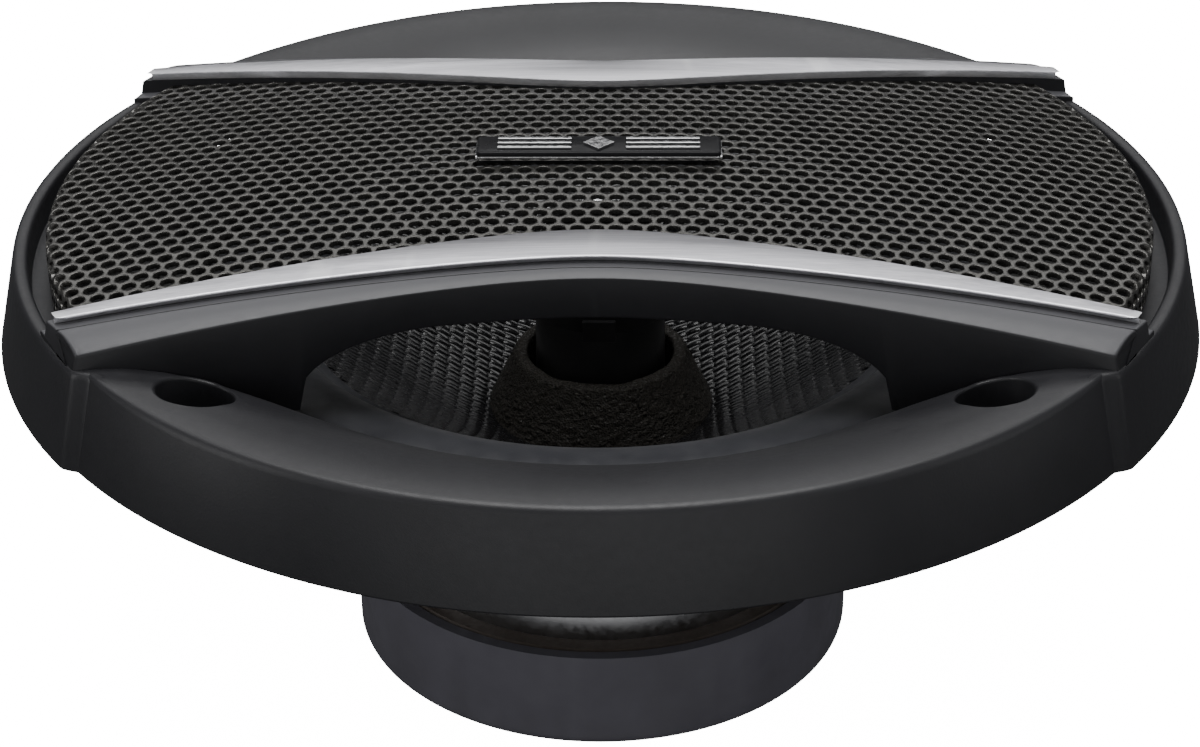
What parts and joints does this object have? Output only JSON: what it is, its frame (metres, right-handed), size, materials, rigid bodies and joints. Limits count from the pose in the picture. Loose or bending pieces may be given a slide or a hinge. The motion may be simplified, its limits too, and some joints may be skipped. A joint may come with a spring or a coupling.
{
  "type": "coaxial car speaker",
  "caption": "Round coaxial car speaker: basket with woven cone and centre tweeter under a bridged grille with mesh and brushed trims; four screw holes.",
  "frame": {"origin": "centre of the mounting plane, which is the underside of the grille rim and of the basket flange", "axes": "+Z out of the grille towards the listener, +X along the grille's bridge and trims, +Y towards the terminals"},
  "size_m": [0.1788, 0.176, 0.0813],
  "materials": {
    "bezel_plastic": "fine-grained satin",
    "mesh_steel": "semi-gloss black coat",
    "brushed_trim": "brushed along its length",
    "badge_black": "gloss",
    "badge_chrome": "bright",
    "basket_paint": "satin black",
    "rivet_steel": "zinc",
    "gasket_foam": "dull",
    "surround_rubber": "satin",
    "spider_cloth": "impregnated cotton",
    "plated_steel": "plated",
    "ferrite": "ground",
    "boot_rubber": "satin",
    "black_plastic": "satin",
    "neodymium": "nickel",
    "bright_ring": "bright",
    "terminal_fibre": "pressed fibre",
    "terminal_brass": "tinned",
    "capacitor_sleeve": "heat-shrunk sleeve",
    "tinsel_braid": "copper braid",
    "red_wire": "insulation",
    "black_wire": "insulation",
    "cone_cloth": "gloss-coated coarse weave",
    "collar_felt": "granular felt",
    "former_film": "amber film",
    "copper_winding": "enamelled copper",
    "dome_silk": "coated silk"
  },
  "bodies": {
    "chassis": {"grille_bezel": "bezel_plastic", "grille_mesh": "mesh_steel", "trim_front": "brushed_trim", "trim_rear": "brushed_trim", "badge_plate": "badge_black", "badge_emblem": "badge_chrome", "basket": "basket_paint", "basket_rivets": "rivet_steel", "surround_gasket": "gasket_foam", "surround": "surround_rubber", "spider": "spider_cloth", "top_plate": "plated_steel", "magnet": "ferrite", "back_plate": "plated_steel", "magnet_boot": "boot_rubber", "tweeter_post": "black_plastic", "post_nut": "plated_steel", "tweeter_housing": "black_plastic", "tweeter_clip": "black_plastic", "tweeter_yoke": "plated_steel", "tweeter_magnet": "neodymium", "tweeter_pole_plate": "plated_steel", "tweeter_face_ring": "bright_ring", "terminal_board": "terminal_fibre", "terminal_rivets": "rivet_steel", "board_rivet": "rivet_steel", "crossover_capacitor": "capacitor_sleeve", "terminal_positive": "terminal_brass", "terminal_negative": "terminal_brass", "tinsel_lead_positive": "tinsel_braid", "tinsel_lead_negative": "tinsel_braid", "tweeter_wire_red": "red_wire", "tweeter_wire_black": "black_wire"},
    "cone_assembly": {"cone": "cone_cloth", "dust_collar": "collar_felt", "voice_coil_former": "former_film", "voice_coil": "copper_winding", "lead_eyelets": "rivet_steel"},
    "tweeter_diaphragm": {"tweeter_voice_coil": "copper_winding", "tweeter_dome": "dome_silk"}
  },
  "joints": [
    {"name": "cone_excursion", "type": "slide", "parent": "chassis", "child": "cone_assembly", "axis": [0, 0, 1], "range_m": [-0.004, 0.004], "stiffness_N_per_m": 1600, "deforming": ["surround", "spider", "tinsel_lead_positive", "tinsel_lead_negative"]},
    {"name": "tweeter_travel", "type": "slide", "parent": "chassis", "child": "tweeter_diaphragm", "axis": [0, 0, 1], "range_m": [-0.0003, 0.0003], "stiffness_N_per_m": 800}
  ]
}
